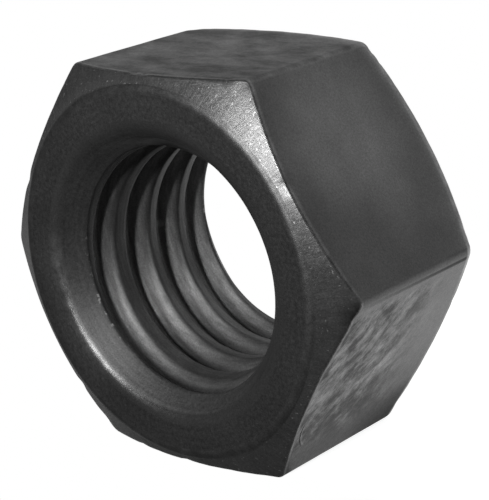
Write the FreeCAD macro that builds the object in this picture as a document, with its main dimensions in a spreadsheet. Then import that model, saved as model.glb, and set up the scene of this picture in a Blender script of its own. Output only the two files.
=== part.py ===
import FreeCAD, Part
import Sketcher
import math
import os

# Plain hexagon nut, 3/8-16 UNC class, forged steel, standing on one wrench flat.
# Millimetres.  Y is the thread axis with the front face toward -Y, Z is up, and the
# origin is on the thread axis at mid thickness.

doc = FreeCAD.newDocument("hex_nut")

# Driving sizes ---------------------------------------------------------------------

SIZES = (
    ("across_flats", 14.10, "distance between opposite wrench flats"),
    ("thickness", 8.00, "bearing face to bearing face"),
    ("corner_radius", 0.35, "rounding of the six axial corners"),
    ("face_circle", 13.20, "diameter of the flat bearing circle at each end"),
    ("chamfer_angle", 30.0, "corner chamfer, degrees from the bearing face"),
    ("chamfer_crown", 40.0, "radius of the slight crown along the corner chamfer"),
    ("face_edge_radius", 0.25, "soft edge between bearing face and corner chamfer"),
    ("thread_major", 9.525, "nominal thread diameter, 3/8 inch"),
    ("root_clearance", 0.08, "radial depth of the tapped root beyond nominal"),
    ("thread_minor", 8.15, "diameter over the thread crests"),
    ("thread_pitch", 1.5875, "16 threads per inch"),
    ("flank_angle", 60.0, "included angle of the thread groove, degrees"),
    ("root_flat", 0.20, "width of the flat at the bottom of the thread groove"),
    ("tap_lead_in", 1.90, "distance from the back face to the start of the tap path"),
    ("sink_mouth", 10.40, "diameter of both countersinks at the bearing faces"),
    ("sink_angle", 90.0, "included angle of both countersinks, degrees"),
    ("lip_radius", 0.18, "soft edge between countersink and bearing face"),
    ("overlap", 0.30, "reach of each cutting profile past the metal it removes"),
)

sheet = doc.addObject("Spreadsheet::Sheet", "Sizes")
for row, (alias, value, meaning) in enumerate(SIZES, start=1):
    sheet.set(f"A{row}", meaning)
    sheet.set(f"B{row}", str(value))
    sheet.setAlias(f"B{row}", alias)
doc.recompute()

# Lengths that several features share, written from the sheet.
CORNER = "(Sizes.across_flats / sqrt(3))"
HALF = "(Sizes.thickness / 2)"
OUTSIDE = f"({HALF} + Sizes.overlap)"
INSIDE = "(Sizes.thread_minor / 2 - Sizes.overlap)"

ORIGIN = (-1, 1)
HORIZONTAL_AXIS = -1
START = 1
END = 2
CENTRE = 3
FULL_TURN = 360.0
SAME_PLACE = 1e-4

body = doc.addObject("PartDesign::Body", "nut_body")
body.Label = "nut_body"
body.Placement = FreeCAD.Placement(FreeCAD.Vector(0, 0, 0), FreeCAD.Rotation())


def size(expression):
    """The present value of an expression over the sheet."""
    return float(sheet.evalExpression(expression))


def origin_plane(role):
    """The plane of the body's own origin that has this role."""
    return next(item for item in body.Origin.OriginFeatures if item.Role == role)


def sketch_on(role, name):
    """An empty sketch attached to one of the body's origin planes."""
    sketch = body.newObject("Sketcher::SketchObject", name)
    sketch.AttachmentSupport = [(origin_plane(role), "")]
    sketch.MapMode = "FlatFace"
    return sketch


def bind(sketch, name, constraint, expression):
    """Add a dimension to a sketch and tie it to the sheet."""
    number = sketch.addConstraint(constraint)
    sketch.renameConstraint(number, name)
    sketch.setExpression("Constraints." + name, expression)


def circle(sketch, radius, name, is_guide):
    """A circle about the origin; returns its number in the sketch."""
    curve = Part.Circle(FreeCAD.Vector(0, 0, 0), FreeCAD.Vector(0, 0, 1), size(radius))
    number = sketch.addGeometry(curve, is_guide)
    sketch.addConstraint(Sketcher.Constraint("Coincident", number, CENTRE, *ORIGIN))
    bind(sketch, name, Sketcher.Constraint("Radius", number, size(radius)), radius)
    return number


def arc_between(begin, finish, radius):
    """An arc that runs anticlockwise from one point to the other, under half a turn."""
    chord = finish - begin
    leftward = FreeCAD.Vector(-chord.y, chord.x, 0).normalize()
    middle = (begin + finish) / 2
    centre = middle + leftward * (radius ** 2 - (chord.Length / 2) ** 2) ** 0.5
    angles = [math.atan2(end.y - centre.y, end.x - centre.x) for end in (begin, finish)]
    return Part.ArcOfCircle(Part.Circle(centre, FreeCAD.Vector(0, 0, 1), radius), *angles)


def outline(sketch, points, crown=None):
    """A closed run of lines through the points.

    With a crown, an expression for a radius, the last edge is an arc instead.
    """
    corners = [FreeCAD.Vector(across, up, 0) for across, up in points]
    edges = [Part.LineSegment(*pair) for pair in zip(corners, corners[1:] + corners[:1])]
    if crown:
        edges[-1] = arc_between(corners[-1], corners[0], size(crown))
    for edge in edges:
        sketch.addGeometry(edge, False)
    for number in range(len(edges)):
        following = (number + 1) % len(edges)
        sketch.addConstraint(Sketcher.Constraint("Coincident", number, END, following, START))
    if crown:
        last = len(edges) - 1
        bind(sketch, "crown", Sketcher.Constraint("Radius", last, size(crown)), crown)


def profile(name, corners, crown=None):
    """A sketch of a closed cutting profile beside the thread axis, at the back end.

    Each corner is a pair of expressions: the distance from mid thickness toward the
    back face, and the distance off the axis.
    """
    sketch = sketch_on("YZ_Plane", name)
    outline(sketch, [(size(along), size(away)) for along, away in corners], crown)
    for number, (along, away) in enumerate(corners):
        ends = ORIGIN + (number, START)
        bind(sketch, f"along_{number}",
             Sketcher.Constraint("DistanceX", *ends, size(along)), along)
        bind(sketch, f"away_{number}",
             Sketcher.Constraint("DistanceY", *ends, size(away)), away)
    return sketch


steps = []


def settle(feature):
    """Make a feature the end of the body, compute it and note its volume."""
    body.Tip = feature
    doc.recompute()
    steps.append((feature.Name, feature.Shape.Volume))
    return feature


def turn_both_ends(sketch, name):
    """Cut a profile all the way round the axis, at the back end and then at the front."""
    groove = body.newObject("PartDesign::Groove", name + "_back")
    groove.Profile = sketch
    groove.ReferenceAxis = (sketch, ["H_Axis"])
    groove.Angle = FULL_TURN
    settle(groove)
    mirrored = body.newObject("PartDesign::Mirrored", name + "_front")
    mirrored.Originals = [groove]
    mirrored.MirrorPlane = (origin_plane("XZ_Plane"), [""])
    return settle(mirrored)


def soften(feature, is_wanted, name, radius):
    """Round the edges of a feature that pass a test, with a radius from the sheet."""
    edges = enumerate(feature.Shape.Edges, start=1)
    chosen = [f"Edge{number}" for number, edge in edges if is_wanted(edge)]
    fillet = body.newObject("PartDesign::Fillet", name)
    fillet.Base = (feature, chosen)
    fillet.setExpression("Radius", radius)
    return settle(fillet)


# Hexagonal bar -----------------------------------------------------------------------
# Two corners lie on X, so the nut stands on a flat.

tall = size("Sizes.across_flats / 2")
wide = size(CORNER)
hexagon = sketch_on("XZ_Plane", "hexagon")
outline(hexagon, [
    (wide, 0),
    (wide / 2, tall),
    (-wide / 2, tall),
    (-wide, 0),
    (-wide / 2, -tall),
    (wide / 2, -tall),
])
sides = range(hexagon.GeometryCount)
corner_circle = circle(hexagon, CORNER, "corner_circle", True)
hexagon.addConstraint(Sketcher.Constraint("PointOnObject", 0, START, HORIZONTAL_AXIS))
for side in sides:
    hexagon.addConstraint(Sketcher.Constraint("PointOnObject", side, START, corner_circle))
for side in sides[1:]:
    hexagon.addConstraint(Sketcher.Constraint("Equal", 0, side))

bar = body.newObject("PartDesign::Pad", "bar")
bar.Profile = hexagon
bar.SideType = "Symmetric"
bar.setExpression("Length", "Sizes.thickness")
settle(bar)


def runs_along_axis(edge):
    """True for a corner edge that runs from face to face."""
    begin, finish = (vertex.Point for vertex in edge.Vertexes)
    return abs(begin.x - finish.x) < SAME_PLACE and abs(begin.z - finish.z) < SAME_PLACE


soften(bar, runs_along_axis, "rounded_corners", "Sizes.corner_radius")

# Corner chamfers -----------------------------------------------------------------------
# A shallow, barely crowned cone at each end turns the hexagonal face into a round
# bearing face.

FACE = "(Sizes.face_circle / 2)"
BEYOND = f"({CORNER} + Sizes.overlap)"
CHAMFER_DEPTH = f"(({BEYOND} - {FACE}) * tan(Sizes.chamfer_angle * 1 deg))"

chamfer_profile = profile("chamfer_profile", [
    (f"{HALF} - {CHAMFER_DEPTH}", BEYOND),
    (OUTSIDE, BEYOND),
    (OUTSIDE, FACE),
    (HALF, FACE),
], crown="Sizes.chamfer_crown")
turn_both_ends(chamfer_profile, "corner_chamfer")

# Bore ------------------------------------------------------------------------------------
# Drilled through at the diameter of the thread crests.

bore_sketch = sketch_on("XZ_Plane", "bore_sketch")
circle(bore_sketch, "Sizes.thread_minor / 2", "bore_radius", False)
bore = body.newObject("PartDesign::Pocket", "bore")
bore.Profile = bore_sketch
bore.SideType = "Symmetric"
bore.setExpression("Length", "2 * Sizes.thickness")
settle(bore)

# Countersinks ------------------------------------------------------------------------------
# A cone at each end leads the bolt into the thread.

MOUTH = "(Sizes.sink_mouth / 2)"
SINK_DEPTH = f"(({MOUTH} - {INSIDE}) / tan(Sizes.sink_angle / 2 * 1 deg))"

sink_profile = profile("sink_profile", [
    (HALF, MOUTH),
    (f"{HALF} - {SINK_DEPTH}", INSIDE),
    (OUTSIDE, INSIDE),
    (OUTSIDE, MOUTH),
])
countersinks = turn_both_ends(sink_profile, "countersink")


def ring_of(diameter):
    """A test for the full circles of one diameter on the two bearing faces."""
    def is_ring(edge):
        on_face = abs(abs(edge.CenterOfMass.y) - size(HALF)) < SAME_PLACE
        is_round = isinstance(edge.Curve, Part.Circle)
        return on_face and is_round and abs(2 * edge.Curve.Radius - size(diameter)) < SAME_PLACE
    return is_ring


soft_lips = soften(countersinks, ring_of("Sizes.sink_mouth"), "soft_lips", "Sizes.lip_radius")
soften(soft_lips, ring_of("Sizes.face_circle"), "soft_faces", "Sizes.face_edge_radius")

# Thread --------------------------------------------------------------------------------------
# Right-hand groove with flat roots, tapped from beyond the back face to beyond the front
# face.  What is left between its turns is the flat crest at the bore's own radius.

ROOT = "(Sizes.thread_major / 2 + Sizes.root_clearance)"
TAP_START = f"({HALF} + Sizes.tap_lead_in)"
ROOT_HALF = "(Sizes.root_flat / 2)"
MOUTH_HALF = f"({ROOT_HALF} + ({ROOT} - {INSIDE}) * tan(Sizes.flank_angle / 2 * 1 deg))"

groove_profile = profile("groove_profile", [
    (f"{TAP_START} + {ROOT_HALF}", ROOT),
    (f"{TAP_START} - {ROOT_HALF}", ROOT),
    (f"{TAP_START} - {MOUTH_HALF}", INSIDE),
    (f"{TAP_START} + {MOUTH_HALF}", INSIDE),
])

thread = body.newObject("PartDesign::SubtractiveHelix", "thread")
thread.Profile = groove_profile
thread.ReferenceAxis = (groove_profile, ["H_Axis"])
thread.Mode = "pitch-height-angle"
thread.setExpression("Pitch", "Sizes.thread_pitch")
thread.setExpression("Height", "Sizes.thickness + 2 * Sizes.tap_lead_in")
thread.LeftHanded = False
thread.Reversed = True
settle(thread)

# Checks and output -----------------------------------------------------------------------------

for item in doc.Objects:
    if "Invalid" in item.State or "Error" in item.State:
        raise RuntimeError(item.Name + " failed: " + ", ".join(item.State))
for (_, before), (name, after) in zip(steps, steps[1:]):
    print(f"{name} removes {before - after:.3f} mm3")
    if after >= before:
        raise RuntimeError(name + " removed nothing")

parts = [body]
for part in parts:
    shape = part.Shape
    if shape.isNull() or not shape.isValid() or len(shape.Solids) != 1:
        raise RuntimeError(part.Label + " is not one valid solid")
    box = shape.optimalBoundingBox(True, False)
    print(f"{part.Label}: {box.XLength:.3f} x {box.YLength:.3f} x {box.ZLength:.3f} mm,"
          f" {shape.Volume:.2f} mm3")

os.makedirs("parts", exist_ok=True)
for part in parts:
    part.Shape.exportStep(f"parts/{part.Label}.step")
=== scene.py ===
import math
import random

import bmesh
import bpy
import numpy as np
from mathutils import Matrix, Vector, noise


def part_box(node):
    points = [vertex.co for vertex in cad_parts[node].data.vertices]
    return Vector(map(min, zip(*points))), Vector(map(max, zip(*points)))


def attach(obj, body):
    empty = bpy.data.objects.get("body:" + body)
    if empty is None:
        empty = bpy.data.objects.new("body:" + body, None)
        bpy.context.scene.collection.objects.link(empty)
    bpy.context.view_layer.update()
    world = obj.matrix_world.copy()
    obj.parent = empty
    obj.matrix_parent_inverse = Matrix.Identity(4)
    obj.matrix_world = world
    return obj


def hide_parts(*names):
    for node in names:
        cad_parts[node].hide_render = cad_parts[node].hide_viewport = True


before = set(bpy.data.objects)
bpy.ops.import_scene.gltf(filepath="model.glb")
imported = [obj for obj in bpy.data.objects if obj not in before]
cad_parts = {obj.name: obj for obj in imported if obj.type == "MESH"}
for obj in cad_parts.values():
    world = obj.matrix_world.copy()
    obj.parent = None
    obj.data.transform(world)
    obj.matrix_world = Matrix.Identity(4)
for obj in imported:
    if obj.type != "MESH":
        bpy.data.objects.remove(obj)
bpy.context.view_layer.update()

# The nut body -----------------------------------------------------------------------
# One forging of carbon steel: a pierced hexagonal blank, chamfered at 30 degrees and
# countersunk at 90 at each face, then tapped right-hand with a 60 degree thread and left
# dark from the furnace.  Its sizes are in millimetres.

MM = 0.001
low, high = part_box("nut_body")
HALF_THICK = (high[1] - low[1]) / 2 / MM
HALF_FLATS = (high[2] - low[2]) / 2 / MM
CORNER_ROUND = 0.35
FACE_EDGE = 6.60
FACE_EDGE_ROUND = 0.55
CHAMFER_SLOPE = math.tan(math.radians(30))
FRONT_EDGE_ROUND = 0.12
BACK_EDGE_ROUND = 0.36
MOUTH = 5.24
LIP_ROUND = 0.58
PITCH = 1.5875
CREST = 4.10
ROOT = 4.8425
ROOT_FLAT_HALF = 0.10
GROOVE_WIDER = 0.07
THREAD_SLOPE = math.tan(math.radians(30))
GROOVE_HALF = GROOVE_WIDER + ROOT_FLAT_HALF + (ROOT - CREST) * THREAD_SLOPE
GROOVE_AT_TOP = 1.1375

# The crests open out like a bell toward the front, where the punch went in.
BELL = 0.30
BELL_FROM, BELL_TO = -0.3, -2.9
BELL_CURVE = 1.5

FLAT_STEPS, CORNER_STEPS, FLANK_ROWS = ((52, 8, 6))
LIP_ROWS, FACE_ROWS, SOFT_ROWS, CHAMFER_ROWS, EDGE_ROWS, SIDE_ROWS = (
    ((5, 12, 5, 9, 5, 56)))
CREST_ROWS, ROOT_ROWS = 8, 3

corner_reach = HALF_FLATS / math.cos(math.radians(30))
corner_centre = corner_reach - CORNER_ROUND / math.cos(math.radians(30))
corner_span = math.atan2(CORNER_ROUND / 2,
                         corner_centre + CORNER_ROUND * math.cos(math.radians(30)))


def column_angles():
    """Angles round the axis, close together at the six rounded corners."""
    flat_from = math.tan(corner_span - math.radians(30))
    flats = np.arctan(np.linspace(flat_from, -flat_from, FLAT_STEPS, endpoint=False))
    corners = np.linspace(-corner_span, corner_span, CORNER_STEPS, endpoint=False)
    sextant = np.concatenate([corners, flats + math.radians(30)])
    turns = np.radians(60) * np.arange(6)
    return (turns[:, None] + sextant[None, :]).ravel()


def hexagon_reach(angle):
    """Distance from the axis to the rounded hexagon."""
    from_corner = np.mod(angle + math.radians(30), math.radians(60)) - math.radians(30)
    from_flat = np.mod(angle, math.radians(60)) - math.radians(30)
    across = corner_centre * np.sin(from_corner)
    rounded = corner_centre * np.cos(from_corner) + np.sqrt(
        np.maximum(CORNER_ROUND ** 2 - across ** 2, 0))
    return np.where(np.abs(from_corner) < corner_span, rounded,
                    HALF_FLATS / np.cos(from_flat))


angles = column_angles()
columns = len(angles)
reach = hexagon_reach(angles)

# The bore's rows follow the helix, so that every crest and root keeps a clean edge.
MOUTH_SNAP = 0.03
ROOT_SOFT = 4.80
ROOT_BLEND, CREST_BLEND, SINK_BLEND = 0.08, 0.07, 0.05
CREST_SHADE_BAND, CREST_SHADE_FADE = 0.17, 0.14
ROOT_SHADE_BAND, ROOT_SHADE_FADE = 0.35, 0.06
BURR_HALF = 0.09
lip_tangent = LIP_ROUND * math.tan(math.radians(22.5))
bore_end = HALF_THICK - lip_tangent * math.cos(math.radians(45))
mouth_reach = MOUTH - (HALF_THICK - bore_end)
row_pattern = np.concatenate([
    np.linspace(-ROOT_FLAT_HALF, ROOT_FLAT_HALF, ROOT_ROWS),
    np.linspace(ROOT_FLAT_HALF, GROOVE_HALF, FLANK_ROWS + 2)[1:],
    np.linspace(GROOVE_HALF, PITCH - GROOVE_HALF, CREST_ROWS)[1:-1],
    np.linspace(PITCH - GROOVE_HALF, PITCH - ROOT_FLAT_HALF, FLANK_ROWS + 2)[:-1],
])
groove_at_start = GROOVE_AT_TOP + PITCH / 4
first_groove = math.floor((-bore_end - groove_at_start) / PITCH) - 1
last_groove = math.ceil((bore_end - groove_at_start) / PITCH) + 2
offsets = (PITCH * np.arange(first_groove, last_groove)[:, None] + row_pattern).ravel()
around = np.append(angles, 2 * math.pi + angles[0])
along = groove_at_start + offsets[None, :] - PITCH * around[:, None] / (2 * math.pi)
from_groove = np.abs(np.broadcast_to(
    np.mod(offsets + PITCH / 2, PITCH) - PITCH / 2, along.shape))
at_mouth = np.abs(along) > bore_end - MOUTH_SNAP
along = np.where(at_mouth, np.sign(along) * bore_end, along)


def softer_least(one, other, blend):
    """The smaller of two values, rounded where they cross."""
    return 0.5 * (one + other - np.sqrt((one - other) ** 2 + blend ** 2))


def softer_most(one, other, blend):
    """The larger of two values, rounded where they cross."""
    return 0.5 * (one + other + np.sqrt((one - other) ** 2 + blend ** 2))


bell = np.clip((along - BELL_FROM) / (BELL_TO - BELL_FROM), 0, 1) ** BELL_CURVE * BELL
groove_edge = GROOVE_HALF - bell * THREAD_SLOPE
slant = CREST + (GROOVE_HALF - from_groove) / THREAD_SLOPE
slant = softer_least(slant, ROOT_SOFT, ROOT_BLEND)
thread = softer_most(slant, CREST + bell, CREST_BLEND)
sink = MOUTH - (HALF_THICK - np.abs(along))
bore = np.where(at_mouth, mouth_reach, softer_most(thread, sink, SINK_BLEND))
in_sink = np.clip((sink - thread) / SINK_BLEND, 0, 1)
# The crest and root bands mark where the finish paints shade on the thread.
crest_shade_mask = np.clip((from_groove - groove_edge + CREST_SHADE_BAND) / CREST_SHADE_FADE, 0, 1)
root_shade_mask = np.clip((ROOT_SHADE_BAND - from_groove) / ROOT_SHADE_FADE, 0, 1)
on_burr = np.clip(1 - np.abs(from_groove - groove_edge) / BURR_HALF, 0, 1)

# Each different point of the bore is numbered once; rows held at a mouth fall together.
KEYS_PER_MM = 1e5
KEYS_PER_COLUMN = 10 ** 7
column_number = np.broadcast_to(np.arange(columns + 1)[:, None] % columns, along.shape)
keys = (column_number * KEYS_PER_COLUMN
        + np.round((along + bore_end) * KEYS_PER_MM).astype(np.int64))
different, first_seen, number = np.unique(keys, return_index=True, return_inverse=True)
number = number.reshape(keys.shape)


def at_points(values):
    """The value of a bore grid at each different point."""
    return np.broadcast_to(values, along.shape).ravel()[first_seen]


def joined(inner, outer):
    """Four-sided faces between two closed rings of points."""
    return np.stack([inner, outer, np.roll(outer, -1), np.roll(inner, -1)], -1)


point_angle = at_points(around[:, None])
points = [np.stack([at_points(bore) * np.cos(point_angle), at_points(along),
                    at_points(bore) * np.sin(point_angle)], 1)]
tapped = 1 - at_points(in_sink)
zones = {name: [np.zeros(len(different))]
         for name in ("flank", "chamfer", "face", "rim", "edge", "lip")}
zones["sink"] = [at_points(in_sink)]
zones["thread"] = [tapped]
zones["crest"] = [tapped * at_points(crest_shade_mask)]
zones["root"] = [tapped * at_points(root_shade_mask)]
zones["crest_edge"] = [tapped * at_points(on_burr)]
quads = [np.stack([number[:-1, :-1], number[:-1, 1:], number[1:, 1:], number[1:, :-1]],
                  -1).reshape(-1, 4)]


def rounded_edge(radius, first_angle, last_angle, steps):
    """Offsets from the centre of a rounded edge, as pairs of (outward, upward)."""
    turn = np.radians(np.linspace(first_angle, last_angle, steps))
    return [(radius * math.cos(t), radius * math.sin(t)) for t in turn]


def end_rows(side_round):
    """Rows from the lip out to the flank at one end: (outward, along, zone name)."""
    rows = []
    lip_reach = MOUTH + lip_tangent
    for outward, upward in rounded_edge(LIP_ROUND, 135, 90, LIP_ROWS)[1:]:
        rows.append((lip_reach + outward, HALF_THICK - LIP_ROUND + upward, "lip"))
    face_reach = FACE_EDGE - FACE_EDGE_ROUND * math.tan(math.radians(15))
    for outward in np.linspace(lip_reach, face_reach, FACE_ROWS + 1)[1:-1]:
        rows.append((outward, HALF_THICK, "face"))
    for outward, upward in rounded_edge(FACE_EDGE_ROUND, 90, 60, SOFT_ROWS):
        rows.append((face_reach + outward, HALF_THICK - FACE_EDGE_ROUND + upward, "rim"))
    chamfer_from = rows[-1][0]
    side_tangent = side_round * math.tan(math.radians(30))
    chamfer_to = reach - side_tangent * math.cos(math.radians(30))
    for part in np.linspace(0, 1, CHAMFER_ROWS + 1)[1:]:
        outward = chamfer_from + (chamfer_to - chamfer_from) * part
        rows.append((outward, HALF_THICK - (outward - FACE_EDGE) * CHAMFER_SLOPE, "chamfer"))
    side_along = HALF_THICK - (reach - FACE_EDGE) * CHAMFER_SLOPE - side_tangent
    for outward, upward in rounded_edge(side_round, 60, 0, EDGE_ROWS)[1:]:
        rows.append((reach - side_round + outward, side_along + upward, "edge"))
    return rows


back = end_rows(BACK_EDGE_ROUND)
front = [(outward, -upward, zone) for outward, upward, zone in end_rows(FRONT_EDGE_ROUND)]
side_parts = np.linspace(0, 1, SIDE_ROWS + 1)[1:-1]
sides = [(reach, back[-1][1] + (front[-1][1] - back[-1][1]) * part, "flank")
         for part in side_parts]
ring = number[:-1, -1]
for outward, upward, zone in back + sides + front[::-1]:
    outward = np.broadcast_to(outward, columns)
    following = sum(len(part) for part in points) + np.arange(columns)
    points.append(np.stack([outward * np.cos(angles), np.broadcast_to(upward, columns),
                            outward * np.sin(angles)], 1))
    quads.append(joined(ring, following))
    ring = following
    for name in zones:
        zones[name].append(np.full(columns, float(name == zone)))
quads.append(joined(ring, number[:-1, 0]))
points = np.concatenate(points)
zones = {name: np.concatenate(parts) for name, parts in zones.items()}

faces = []
for quad in np.concatenate(quads).tolist():
    corners = [point for place, point in enumerate(quad) if point != quad[place - 1]]
    if len(corners) > 2 and len(set(corners)) == len(corners):
        faces.append(corners)

mesh = bpy.data.meshes.new("nut_skin")
mesh.from_pydata((points * MM).tolist(), [], faces)
skin = bmesh.new()
skin.from_mesh(mesh)
bmesh.ops.recalc_face_normals(skin, faces=skin.faces)
skin.to_mesh(mesh)
skin.free()
mesh.update()

# Forging, tumbling and tapping leave the skin uneven: every change is into the metal,
# except the thin burr that the tap turns up along both edges of each crest.  A wave has
# its depth and its lumps to the millimetre.
WAVES = {"flank": (0.018, 0.45), "chamfer": (0.010, 0.8), "face": (0.006, 0.9),
         "edge": (0.022, 1.3), "sink": (0.006, 1.0), "thread": (0.008, 1.6),
         "lip": (0.015, 1.4)}
WAVE_SHIFT = 17.0
BURR = 0.012
BURR_LUMPS, BURR_SHIFT = 1.1, 5.0
DENTS = 26
DENT_SEED = 38
DENT_WIDTHS = (0.10, 0.30)
DENT_DEPTHS = (0.02, 0.05)
normals = np.empty(3 * len(points), np.float32)
mesh.vertex_normals.foreach_get("vector", normals)
normals = normals.reshape(-1, 3)


def unevenness(lumps_per_mm, shift):
    """Smooth noise from 0 to 1 at every point of the skin."""
    moved = points * lumps_per_mm + shift
    return np.array([0.5 + 0.5 * noise.fractal(spot, 0.9, 2.1, 3) for spot in moved.tolist()])


depth = np.zeros(len(points))
for turn, (zone, (deepest, lumps_per_mm)) in enumerate(WAVES.items()):
    depth += zones[zone] * deepest * np.clip(
        unevenness(lumps_per_mm, WAVE_SHIFT * turn), 0, 1)
patchy = np.clip(2.2 * unevenness(BURR_LUMPS, BURR_SHIFT) - 0.6, 0, 1)
depth -= zones["crest_edge"] * BURR * patchy
choice = random.Random(DENT_SEED)
far_out = np.hypot(points[:, 0], points[:, 2]) > FACE_EDGE
on_edge = np.flatnonzero((zones["edge"] > 0.5) & far_out).tolist()
for dent in range(DENTS):
    spot = points[choice.choice(on_edge)]
    width = choice.uniform(*DENT_WIDTHS)
    gap = np.linalg.norm(points - spot, axis=1)
    depth += choice.uniform(*DENT_DEPTHS) * np.exp(-(gap / width) ** 2)
points = points - normals * depth[:, None]
mesh.vertices.foreach_set("co", (points * MM).astype(np.float32).ravel())
for name, values in zones.items():
    attribute = mesh.attributes.new(name, "FLOAT", "POINT")
    attribute.data.foreach_set("value", values.astype(np.float32))
mesh.polygons.foreach_set("use_smooth", [True] * len(mesh.polygons))
mesh.update()
nut = bpy.data.objects.new("nut_skin", mesh)
bpy.context.scene.collection.objects.link(nut)

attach(nut, "root")
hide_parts("nut_body")


class Shade:
    """One value inside a finish; arithmetic on it adds the nodes that work it out."""

    def __init__(self, tree, socket=None):
        self.tree = tree
        self.socket = socket

    def make(self, kind, settings=None, inputs=None, output=0):
        """Add a node of a kind, with its settings first and then its inputs."""
        node = self.tree.nodes.new(kind)
        for name, value in (settings or {}).items():
            setattr(node, name, value)
        for name, value in (inputs or {}).items():
            if isinstance(value, Shade):
                self.tree.links.new(value.socket, node.inputs[name])
            else:
                node.inputs[name].default_value = value
        return Shade(self.tree, node.outputs[output])

    def math(self, operation, *values):
        return self.make("ShaderNodeMath", {"operation": operation}, dict(enumerate(values)))

    def __add__(self, other):
        return self.math("ADD", self, other)

    def __radd__(self, other):
        return self.math("ADD", other, self)

    def __sub__(self, other):
        return self.math("SUBTRACT", self, other)

    def __rsub__(self, other):
        return self.math("SUBTRACT", other, self)

    def __mul__(self, other):
        return self.math("MULTIPLY", self, other)

    def __rmul__(self, other):
        return self.math("MULTIPLY", other, self)


steel = bpy.data.materials.new("dark_steel")
steel.use_nodes = True
shader = steel.node_tree.nodes["Principled BSDF"]
finish = Shade(steel.node_tree)


def vector_maths(operation, *vectors, output=0):
    """A sum on directions or places."""
    return finish.make("ShaderNodeVectorMath", {"operation": operation},
                       dict(enumerate(vectors)), output)


def part_of(vector, axis):
    """One of the three numbers of a direction or place."""
    return finish.make("ShaderNodeSeparateXYZ", inputs={"Vector": vector}, output=axis)


def speckle(vector, per_mm, detail=3.0, rough=0.55):
    """Noise of so many lumps to the millimetre."""
    return finish.make("ShaderNodeTexNoise", {"noise_dimensions": "3D"}, {
        "Vector": vector, "Scale": per_mm, "Detail": detail, "Roughness": rough})


def between(value, start, end, first=0.0, last=1.0, kind="LINEAR"):
    """A value carried from one range into another, held at both ends."""
    return finish.make("ShaderNodeMapRange", {"interpolation_type": kind}, {
        "Value": value, "From Min": start, "From Max": end, "To Min": first, "To Max": last})


def at_least(value, least):
    """A value that never falls below a limit."""
    return finish.math("MAXIMUM", value, least)


def zone_mask(name):
    """How far a place belongs to one zone of the skin, 0 to 1."""
    return finish.make("ShaderNodeAttribute", {"attribute_name": name}, output="Fac")


def direction(degrees):
    """The direction at an angle up from the right-hand corner, seen from the front."""
    return (math.cos(math.radians(degrees)), 0, math.sin(math.radians(degrees)))


def reach_toward(vector, degrees):
    """How far a vector reaches at such an angle."""
    return vector_maths("DOT_PRODUCT", vector, direction(degrees), output="Value")


place = vector_maths("MULTIPLY", finish.make("ShaderNodeTexCoord", output="Object"),
                     (1 / MM,) * 3)
flank, chamfer, face, rim, edge, lip, sink_zone, thread_zone, crest, crest_edge, root = (
    zone_mask(name) for name in ("flank", "chamfer", "face", "rim", "edge", "lip", "sink",
                                 "thread", "crest", "crest_edge", "root"))
outward = vector_maths("MULTIPLY", place, (1, 0, 1))
distance = vector_maths("LENGTH", outward, output="Value")
radial = vector_maths("NORMALIZE", outward)
height = part_of(place, "Y")
lift = part_of(place, "Z")


def side_toward(degrees, start, full, kind="SMOOTHSTEP"):
    """The part of the nut on one side of its axis; start and full are cosines."""
    return between(reach_toward(radial, degrees), start, full, kind=kind)


def gap_from(spot):
    """Millimetres between a place and a spot on the nut."""
    return vector_maths("DISTANCE", place, spot, output="Value")


def turned(round_scale, out_scale):
    """A place measured round the axis and out from it, for marks left by turning."""
    return vector_maths(
        "ADD", vector_maths("MULTIPLY", radial, (round_scale, 0, round_scale)),
        finish.make("ShaderNodeCombineXYZ", inputs={"Y": out_scale * distance}))


# Fine grain everywhere, and broader clouds of scale left by the furnace.
grain = speckle(place, 16.0, 4.0, 0.7)
sand = speckle(place, 7.0, 3.0, 0.6)
clouds = speckle(place, 0.55, 3.0, 0.5)

# The top flat keeps blotches from the bar mill; the others are tumbled smooth, with a
# painted highlight patch on the upper right one; all are lighter toward the back edge, most at
# the top.
FLAT_TONE, FLAT_DARKEST = 0.074, 0.040
HIGHLIGHT_PATCH_SPOT = (5.4, -0.3, 4.8)
top_flat = between(lift, HALF_FLATS - 0.12, HALF_FLATS - 0.06)
drawn = speckle(vector_maths("MULTIPLY", place, (0.50, 0.85, 0.50)), 1.0, 7.0, 0.68)
rubbed = speckle(vector_maths("MULTIPLY", place, (0.30, 0.42, 0.30)), 1.0, 3.0, 0.5)
# Painted highlight: a soft lighter patch on the upper right flat.
painted_highlight_patch = between(gap_from(HIGHLIGHT_PATCH_SPOT), 3.8, 0.4, 0.0, 0.90, "SMOOTHSTEP")
blotches = between(drawn, 0.38, 0.64, -0.041, 0.089)
to_back = height + CHAMFER_SLOPE * (distance - FACE_EDGE)
back_lighter = between(to_back, 3.25, 4.0)
flat_level = (FLAT_TONE * (1 + painted_highlight_patch) * between(height, -3.5, 3.0, 0.88, 1.26)
              * (1 + back_lighter * back_lighter * between(lift, 2.5, 5.5, 0.9, 2.2))
              * between(rubbed, 0.3, 0.7, 0.82, 1.18) + top_flat * blotches)
flat_level = at_least(flat_level, FLAT_DARKEST)

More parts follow.
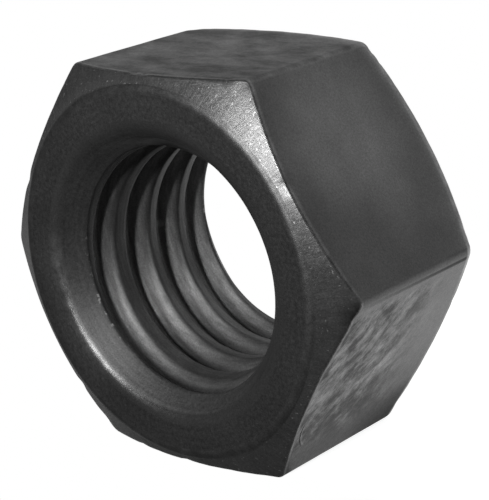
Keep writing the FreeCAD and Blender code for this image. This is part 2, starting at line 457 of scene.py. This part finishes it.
# The lower right flat slid down a chute while it was hot: its marks run slantwise over
# the front part, and a dark line runs under its upper edge.
SLID_TONE, SLID_DARKEST = 0.088, 0.022
slid = between(reach_toward(place, -30), HALF_FLATS - 0.25, HALF_FLATS - 0.15)
climb = reach_toward(place, 60)
slantwise = finish.make("ShaderNodeCombineXYZ", inputs={
    "X": 0.36 * (climb + height), "Y": 0.85 * (climb - height)})
smear = speckle(slantwise, 1.1, 8.0, 0.74)
mottle = speckle(place, 1.2, 6.0, 0.72)
bright = between(0.65 * smear + 0.35 * mottle, 0.43, 0.62)
dull = between(speckle(slantwise, 0.8, 7.0, 0.66), 0.36, 0.46, 1.0, 0.0)
front_part = (between(height, 2.4, -0.2) * between(climb, -3.4, -1.8)
              * between(climb, 3.7, 3.3))
under_edge = (between(climb, 3.68, 3.77) * between(climb, 3.92, 3.87)
              * between(height, -3.0, 2.5, 0.15, 0.95))
# Painted shade near the floor: the flat darkens toward its bottom, most at its lower back
# corner.
low_corner_shade = between(climb, -2.0, -3.9) * between(height, 0.0, 2.8)
slid_level = ((SLID_TONE + (0.140 * bright - 0.068 - 0.030 * dull) * front_part
               - 0.075 * between(climb, 0.4, -3.8) - 0.035 * low_corner_shade)
              * (1 - 0.90 * under_edge))

# Near that flat's lower front corner a sliver of metal was folded over, along an arc.
NICK_CENTRE = (5.30, -1.72, -4.72)
nick = gap_from(NICK_CENTRE)
nick_length = (between(climb, -2.60, -2.40) * between(climb, -1.28, -1.38)
               * between(height, -2.2, -2.4))
nick_dark = between(nick, 1.58, 1.61) * between(nick, 1.67, 1.64) * nick_length
nick_light = between(nick, 1.50, 1.54) * between(nick, 1.60, 1.57) * nick_length
slid_level = at_least(slid_level, SLID_DARKEST)
slid_level = slid_level * (1 - 0.8 * nick_dark) + 0.06 * nick_light

# Chamfers: short radial tears from the turning tool, with bright specks.  The front one
# has a painted highlight at the upper right, painted shade at its right-hand and lower
# left corners, and painted light along the rim at its left, which reaches onto the face.
CHAMFER_TONE, SPECK_TONE = 0.122, 0.25
RIM_TONE, RIM_WORN_TONE = 0.068, 0.025
tears = speckle(turned(46, 1.6), 1.0, 4.0, 0.6)
specks = between(speckle(place, 8.0, 2.0, 0.5), 0.67, 0.75)
front_end = between(height, 0.5, -0.5)
# Painted highlight, painted shade and painted light on the front chamfer, set by side.
chamfer_highlight = front_end * side_toward(52, 0.66, 0.92)
chamfer_corner_shade = front_end * side_toward(-8, 0.984, 0.996) * between(distance, 7.25, 7.95)
left_painted_light = front_end * side_toward(105, 0.75, 0.95)
chamfer_low_left_shade = front_end * side_toward(240, 0.85, 0.98)
near_rim = between(distance, 7.3, 6.7)
chamfer_level = ((CHAMFER_TONE * between(tears, 0.3, 0.7, 0.84, 1.16) + SPECK_TONE * specks)
                 * (1 + 0.2 * chamfer_highlight) * (1 - 0.70 * chamfer_corner_shade) * (1 - 0.40 * chamfer_low_left_shade)
                 * (1 + near_rim * (0.40 * left_painted_light - 0.30 * chamfer_highlight)))
rim_level = RIM_TONE + RIM_WORN_TONE * between(speckle(place, 2.6, 4.0, 0.65), 0.42, 0.62)

# Faces and countersinks: faint rings left by the cutter.
FACE_TONE, SINK_TONE = 0.070, 0.060
rings = speckle(turned(1.2, 7.0), 1.0, 3.0, 0.6)
face_level = (FACE_TONE * between(sand, 0.3, 0.7, 0.8, 1.2)
              * between(rings, 0.3, 0.7, 0.9, 1.1))
sink_level = (SINK_TONE * between(rings, 0.3, 0.7, 0.8, 1.2)
              * between(sand, 0.3, 0.7, 0.85, 1.15))

# Thread: streaks that the tap drags along, painted shade on the crests and in the roots,
# painted shade on the underside of the bore with painted light on its countersink, a
# darker thread where it runs out at each end, and one small chip.
THREAD_TONE, CREST_PAINTED_SHADE, CREST_EDGE_DARKER = 0.205, 0.142, 0.018
CHIP_SPOT, CHIP_TONE = (-4.69, 0.92, -0.15), 0.10
dragged = speckle(vector_maths("MULTIPLY", place, (1.0, 11.0, 1.0)), 1.0, 4.0, 0.6)
run_out = between(finish.math("ABSOLUTE", height), 2.95, 3.25)
# Painted shade on the underside of the thread, and painted light on the countersink there.
underside_light_and_shade = side_toward(268, 0.58, 0.97, "LINEAR")
thread_level = ((THREAD_TONE - CREST_PAINTED_SHADE * crest * (1 - 0.5 * underside_light_and_shade))
                * (1 - 0.42 * underside_light_and_shade) * (1 - 0.38 * root) * (1 - 0.55 * run_out)
                * between(dragged, 0.3, 0.7, 0.7, 1.3) - CREST_EDGE_DARKER * crest_edge
                + CHIP_TONE * between(gap_from(CHIP_SPOT), 0.20, 0.10))

# Edges and lips: rubbed bright in places, and lighter on the back edges except low down.
# The lip at the lower left carries a painted highlight, which spreads onto the face beside
# it, and painted glints on the ragged burr left between countersink and thread there.
EDGE_TONE, EDGE_WORN_TONE = 0.085, 0.06
LIP_TONE, LIP_HIGHLIGHT_TONE = 0.065, 0.055
worn = between(speckle(place, 2.2, 4.0, 0.6), 0.35, 0.65)
# Painted highlight on the lip at the lower left.
lip_highlight_side = side_toward(202, 0.80, 0.97)
edge_level = ((EDGE_TONE + EDGE_WORN_TONE * worn)
              * (1 + 0.9 * between(height, 0.5, 1.5) * between(lift, -2.5, -0.5)))
lip_level = LIP_TONE + LIP_HIGHLIGHT_TONE * lip_highlight_side * worn
mouth_burr = 4.0 * sink_zone * thread_zone * between(speckle(place, 5.0, 2.0, 0.5), 0.56, 0.66)
# Painted shade along the rounded corners at the right, dimming their sheen.
corner_arc_shade = (between(distance, corner_reach - 0.13, corner_reach - 0.09)
              * side_toward(30, 0.80, 0.85, "LINEAR"))

# The whole skin: each zone's tone in its place, with painted light on the lower
# countersink, beside the left lip and at the left of the face, painted glints on the
# burr, then the grain and clouds.
level = (flank * ((1 - slid) * flat_level + slid * slid_level) * (1 - 0.15 * corner_arc_shade)
         + chamfer * chamfer_level + face * face_level + rim * rim_level
         + edge * edge_level + lip * lip_level
         + sink_zone * sink_level * (1 + 0.38 * underside_light_and_shade) + thread_zone * thread_level)
# Painted highlight beside the lip at the lower left, painted light at the left of the face,
# and painted glints on the burr there.
level = level * (1 + 0.6 * lip_highlight_side * face * between(distance, 6.5, 5.4))
level = level * (1 + 0.14 * left_painted_light * face) + 0.30 * mouth_burr * lip_highlight_side
level = level * between(grain, 0.27, 0.73, 0.66, 1.34) * between(clouds, 0.3, 0.7, 0.92, 1.08)
colour = finish.make("ShaderNodeVectorMath", {"operation": "SCALE"}, {
    0: (1.0, 1.0, 1.0), "Scale": level})

ROUGHNESS = 0.44
METALLIC = 0.8
gloss = (ROUGHNESS + 0.17 * top_flat * flank - 0.04 * (flank + face + rim + edge)
         + flank * slid * (front_part * (0.15 - 0.31 * bright) + 0.30 * low_corner_shade
                           + 0.10 * between(climb, -1.0, -3.4) + 0.25 * under_edge)
         - 0.10 * chamfer - 0.12 * lip + 0.08 * thread_zone + 0.06 * sink_zone
         + between(sand, 0.3, 0.7, -0.04, 0.04))
relief = (0.5 * (grain + sand) + 0.7 * top_flat * drawn + chamfer * tears
          + 0.4 * (sink_zone + face) * rings + 0.7 * thread_zone * dragged
          + flank * slid * (1.2 * smear + 3.0 * nick_light - 5.0 * nick_dark))
bumps = finish.make("ShaderNodeBump", None, {
    "Height": relief, "Strength": 0.6, "Distance": 0.012 * MM})
metal = METALLIC - 0.2 * thread_zone - 0.15 * (sink_zone + lip)
for name, value in (("Base Color", colour), ("Roughness", gloss), ("Normal", bumps),
                    ("Metallic", metal)):
    steel.node_tree.links.new(value.socket, shader.inputs[name])
mesh.materials.append(steel)

# The floor --------------------------------------------------------------------------
# A sheet of matt white paper, lit evenly, that the nut stands on with one flat.  It ends
# under the nut at the front and the left, so the metal there mirrors the darker room.

PAPER = 0.30
PAPER_FRONT = -0.0026
PAPER_LEFT = -0.0052
PAPER_GLOW = 0.90
bpy.ops.mesh.primitive_plane_add(
    size=PAPER, location=(PAPER_LEFT + PAPER / 2, PAPER_FRONT + PAPER / 2, low[2]))
floor = bpy.context.object
floor.name = "floor"
paper = bpy.data.materials.new("paper")
paper.use_nodes = True
sheet = paper.node_tree.nodes["Principled BSDF"]
sheet.inputs["Base Color"].default_value = (0.40, 0.40, 0.40, 1)
sheet.inputs["Roughness"].default_value = 0.9
sheet.inputs["Emission Color"].default_value = (1, 1, 1, 1)
sheet.inputs["Emission Strength"].default_value = PAPER_GLOW
floor.data.materials.append(paper)

# The camera -------------------------------------------------------------------------
# Looks down a little on the front face and the right-hand flats, tilted slightly, from
# between four and five times the nut's width away.

AZIMUTH, ELEVATION, ROLL = 42.43, 17.58, -4.97
LENS, SENSOR = 129.56, 36
NEAREST = 0.001
aim = Vector((-0.0212, 0.0165, -4.602)) * 2 * HALF_FLATS * MM
turn = (Matrix.Rotation(math.radians(AZIMUTH), 3, "Z")
        @ Matrix.Rotation(math.radians(90 - ELEVATION), 3, "X")
        @ Matrix.Rotation(math.radians(ROLL), 3, "Z"))
lens = bpy.data.cameras.new("camera")
lens.lens = LENS
lens.sensor_width = SENSOR
lens.clip_start = NEAREST
camera = bpy.data.objects.new("camera", lens)
camera.matrix_world = Matrix.Translation(-(turn @ aim)) @ turn.to_4x4()
bpy.context.scene.collection.objects.link(camera)
bpy.context.scene.camera = camera

# The lights -------------------------------------------------------------------------
# Two small soft lamps in front and one broad one high up behind, in a room whose walls
# are pale beyond the nut and dark on the side that its front faces.


def softbox(name, azimuth, elevation, away, sizes, power):
    """A soft lamp of some width and height that faces the nut."""
    light = bpy.data.lights.new(name, "AREA")
    light.shape = "RECTANGLE"
    light.size, light.size_y = sizes
    light.energy = power
    lamp = bpy.data.objects.new(name, light)
    side, rise = math.radians(azimuth), math.radians(elevation)
    lamp.location = away * Vector((math.sin(side) * math.cos(rise),
                                   -math.cos(side) * math.cos(rise), math.sin(rise)))
    lamp.rotation_euler = lamp.location.to_track_quat("Z", "Y").to_euler()
    bpy.context.scene.collection.objects.link(lamp)


softbox("key", 21, 27, 0.10, (0.011, 0.011), 0.042)
softbox("front", -5, 17, 0.10, (0.016, 0.045), 0.066)
softbox("top", 150, 60, 0.20, (0.20, 0.20), 0.10)

ROOM_DARK, ROOM_LIGHT = 0.055, 0.53
world = bpy.data.worlds.new("studio")
world.use_nodes = True
bpy.context.scene.world = world
room = Shade(world.node_tree)
toward = room.make("ShaderNodeTexCoord", output="Generated")
ahead = room.make("ShaderNodeSeparateXYZ", inputs={"Vector": toward}, output="Y")
glow = room.make("ShaderNodeMapRange", {"interpolation_type": "SMOOTHSTEP"}, {
    "Value": ahead, "From Min": 0.0, "From Max": 0.60,
    "To Min": ROOM_DARK, "To Max": ROOM_LIGHT})
seen = room.make("ShaderNodeLightPath", output="Is Camera Ray")
strength = seen + (1 - seen) * glow
background = world.node_tree.nodes["Background"]
background.inputs["Color"].default_value = (1, 1, 1, 1)
world.node_tree.links.new(strength.socket, background.inputs["Strength"])
bpy.context.scene.view_settings.view_transform = "Standard"
